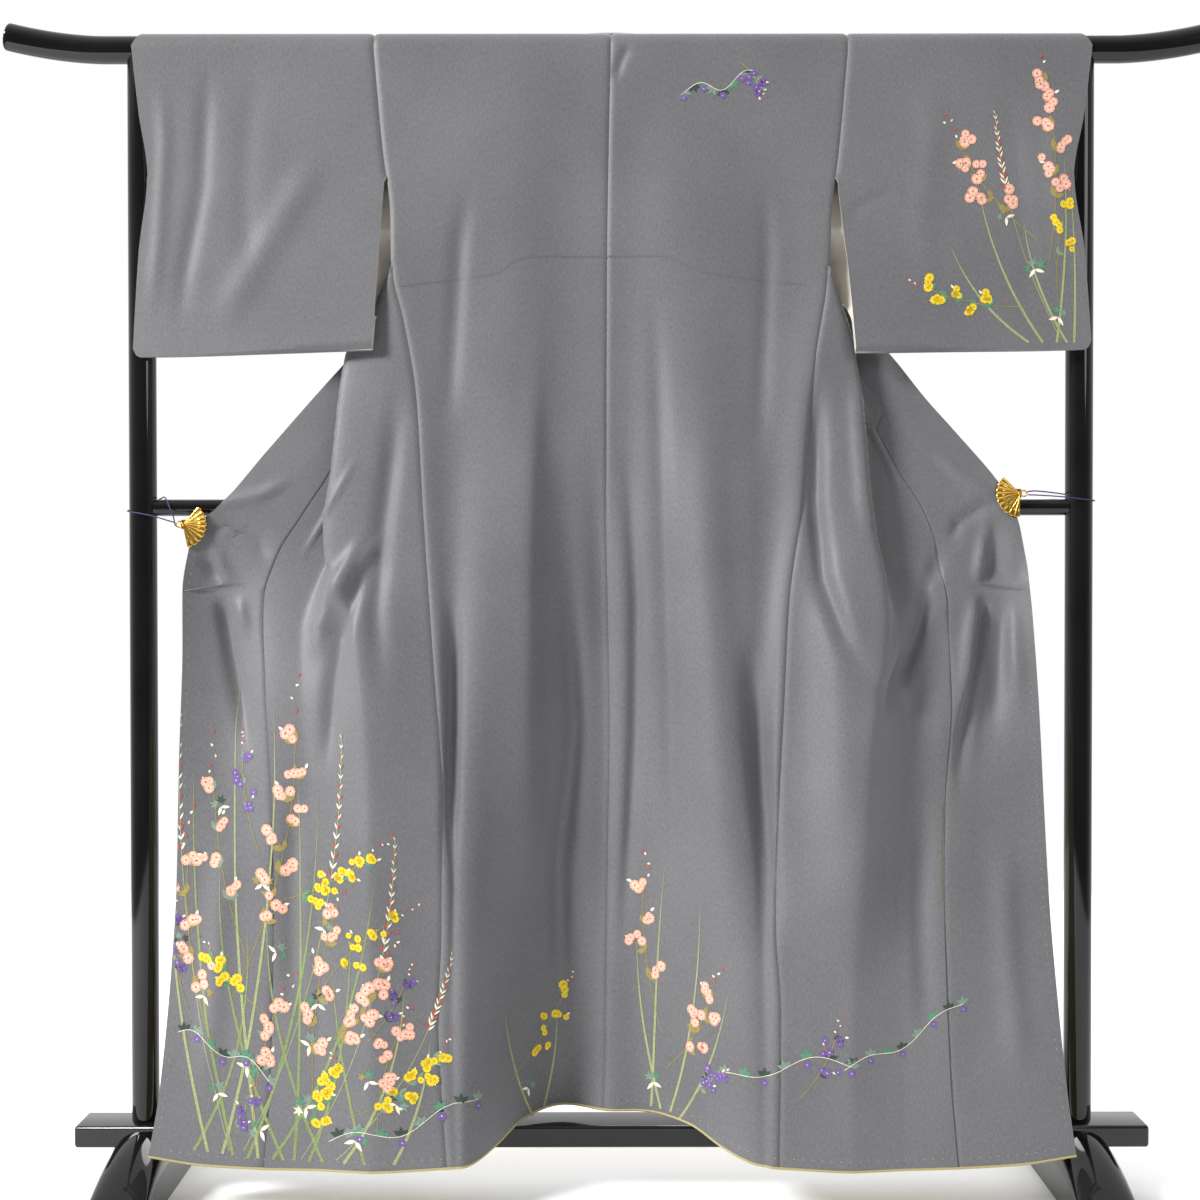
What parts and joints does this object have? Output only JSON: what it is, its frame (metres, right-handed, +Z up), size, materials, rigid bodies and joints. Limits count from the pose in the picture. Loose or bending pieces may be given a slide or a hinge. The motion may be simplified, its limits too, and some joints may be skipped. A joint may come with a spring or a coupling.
{
  "type": "kimono on a kimono stand",
  "caption": "Long-sleeved kimono hung over the rail of a lacquered floor stand, seen from its back, with both fronts swung out and held by fan-shaped clips.",
  "frame": {"origin": "on the floor under the middle of the stand's top rail, at the middle of the bounding box's underside", "axes": "+X to the viewer's right along the rail, +Y away from the viewer, from the kimono's back towards its front, +Z up"},
  "size_m": [1.7308, 0.4, 1.6755],
  "materials": {
    "crepe": "matte grey silk crepe with a hand-painted look flower and grass design",
    "lacquer": "black gloss lacquer",
    "gilt": "satin gilt",
    "cord": "thin purple elastic cord"
  },
  "bodies": {
    "root": {"body_left": "crepe", "body_right": "crepe", "okumi_left": "crepe", "okumi_right": "crepe", "sleeve_left": "crepe", "sleeve_right": "crepe", "collar": "crepe", "clip_left": "gilt", "clip_right": "gilt", "tie_left": "cord", "tie_right": "cord", "rail": "lacquer", "post_left": "lacquer", "post_right": "lacquer", "crossbar": "lacquer", "base_beam": "lacquer", "foot_left": "lacquer", "foot_right": "lacquer"}
  },
  "joints": []
}
